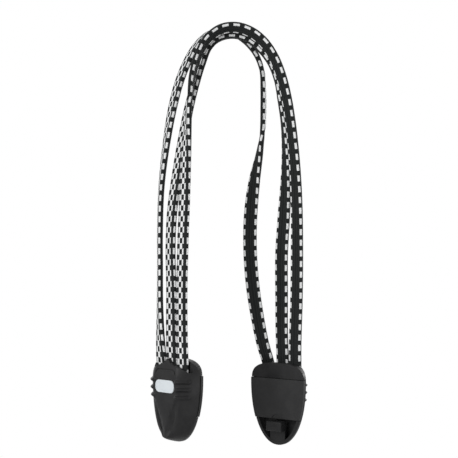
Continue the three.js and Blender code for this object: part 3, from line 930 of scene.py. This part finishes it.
# Back covers: a flat plate of the same black plastic, with a duller grain, that closes each shell over the
# clips. Four pegs hold it in the shell, and a shallow thumb notch in its lower edge lets it be prised off.
cover_front = 0.0008
cover_back = 0.0031
cover_round = 0.0004
peg_half_size = 0.0015
peg_reach = -0.0045
peg_overlap = 0.0005
peg_round = 0.0004
peg_places = ((0.0100, 0.0240), (0.0120, 0.0320))
notch_half_size = (0.0044, 0.0033)
notch_depth = 0.0004
notch_steps = 48
cover_black = (0.0230, 0.0230, 0.0235, 1)
cover_worn = (0.0290, 0.0290, 0.0295, 1)
whole_back = egg_outline(0, shoulder_height, evenly(0.0009))
cover = outline_block("cover", whole_back, cover_front, cover_back)
shape_by(cover, box("below_cover", whole_span, whole_span, (-beyond, cover_bottom)), "DIFFERENCE")
shape_by(cover, box("above_cover", whole_span, whole_span, (cover_top, beyond)), "DIFFERENCE")
bevel_where(cover, lambda a, b: min(a.y, b.y) > cover_back - touching, width=cover_round, steps=3)
notch = []
for step in range(notch_steps):
    angle = 2 * math.pi * step / notch_steps
    notch.append((notch_half_size[0] * math.cos(angle), cover_bottom + notch_half_size[1] * math.sin(angle)))
shape_by(cover, outline_block("notch", notch, cover_back - notch_depth, cover_back + past), "DIFFERENCE")
for across, up in peg_places:
    for side in (-1, 1):
        middle = side * across
        peg = box(
            "peg", (middle - peg_half_size, middle + peg_half_size), (peg_reach, cover_front + peg_overlap),
            (up - peg_half_size, up + peg_half_size),
        )
        bevel_where(peg, lambda a, b: max(a.y, b.y) < peg_reach + touching, width=peg_round, steps=2)
        shape_by(cover, peg, "UNION")
dull_black = plastic_material(
    "dull_black_plastic", grain_group, grain_scale=2200, depth=0.00005, dark=cover_black,
    light=cover_worn, rough=0.62, smooth=0.50, reflection=0.16,
)
place_on_heads(cover, "cover", "back_cover", "cover", dull_black)

# Hook tongues: a sprung strip of the same black plastic in the window below each cover, moulded to the
# shell at its root. The block on it hooks behind the edge that the strap is fixed to.
tongue_half_width = 0.0063
tongue_face = 0.0023
tongue_inner = 0.0002
hook_bottom = 0.0102
hook_back = 0.0076
hook_overlap = 0.0009
hook_round = 0.0006
root_gap = 0.00252
root_corner = 0.0001
inside_tip = egg_outline(root_gap, shoulder_height, evenly(0.0006))
root = sorted((x, z) for x, z in inside_tip if abs(x) < tongue_half_width and z < widest_height)
corner_height = max(z for x, z in root) + root_corner
strip = [(-tongue_half_width, hook_top), (-tongue_half_width, corner_height), *root,
         (tongue_half_width, corner_height), (tongue_half_width, hook_top)]
tongue = outline_block("tongue", strip, tongue_inner, tongue_face)
hook_across = (-tongue_half_width, tongue_half_width)
hook = box("hook", hook_across, (tongue_face - hook_overlap, hook_back), (hook_bottom, hook_top))
bevel_where(hook, lambda a, b: min(a.y, b.y) > hook_back - touching, width=hook_round, steps=4)
shape_by(tongue, hook, "UNION")
place_on_heads(tongue, "tongue", "hook_tongue", "tongue", satin_black)

# Studio: a pale floor far below the hanging strap, in a white room. A soft lamp lights it from the left, two
# from the right and behind, and a weak one from below. The camera looks level, as the photograph was taken.
floor_height = -0.9
floor_radius = 1.6
floor_shade = (0.80, 0.80, 0.80, 1)
floor_pale = (0.83, 0.83, 0.83, 1)
room_light = 0.28
camera_distance = 0.9
camera_sensor = 36
camera_lens = 101.06
view_middle = strap_point(-0.0014, 0, -0.1336)

bpy.ops.object.select_all(action="DESELECT")
bpy.ops.mesh.primitive_circle_add(
    vertices=96, radius=floor_radius, fill_type="NGON", location=(0, 0, floor_height)
)
bpy.ops.object.transform_apply(location=True, rotation=True, scale=True)
floor = bpy.context.object
floor.name = "studio_floor"
pale_floor, tree, shader = new_material("pale_floor")
shader.inputs["Roughness"].default_value = 0.85
floor_tone = ramp(tree, noise(tree, 3, 2), 0.2, 0.8, 0, 1)
floor_tone = blend_colours(tree, floor_tone, floor_shade, floor_pale)
tree.links.new(floor_tone, shader.inputs["Base Color"])
floor.data.materials.append(pale_floor)

for name, across, behind, height, size, power in (
    ("key_lamp", -1.4, -1.1, 0.65, 1.1, 24),
    ("side_lamp", 1.5, 0.3, 0.2, 1.0, 15),
    ("rim_lamp", 1.2, 1.0, 0.4, 0.9, 18),
    ("low_lamp", 0.5, -1.4, -0.75, 0.8, 5),
):
    place = strap_point(across, behind, height)
    facing = (view_middle - place).to_track_quat("-Z", "Y")
    bpy.ops.object.light_add(type="AREA", location=place, rotation=facing.to_euler())
    lamp = bpy.context.object
    lamp.name = name
    lamp.data.size = size
    lamp.data.energy = power

white_room = bpy.data.worlds.new("white_room")
bpy.context.scene.world = white_room
white_room.use_nodes = True
tree = white_room.node_tree
rays = tree.nodes.new("ShaderNodeLightPath")
seen = calculate(tree, "MAXIMUM", rays.outputs["Is Camera Ray"], rays.outputs["Is Glossy Ray"])
seen = calculate(tree, "MAXIMUM", seen, rays.outputs["Is Transmission Ray"])
room = tree.nodes["Background"]
room.inputs["Color"].default_value = (1, 1, 1, 1)
strength = calculate(tree, "MULTIPLY_ADD", seen, 1 - room_light, room_light)
tree.links.new(strength, room.inputs["Strength"])

bpy.ops.object.camera_add(
    location=view_middle + strap_point(0, -camera_distance, 0), rotation=(math.pi / 2, 0, strap_turn)
)
camera = bpy.context.object
camera.data.sensor_width = camera_sensor
camera.data.lens = camera_lens
bpy.context.scene.camera = camera
bpy.context.scene.view_settings.view_transform = "Standard"
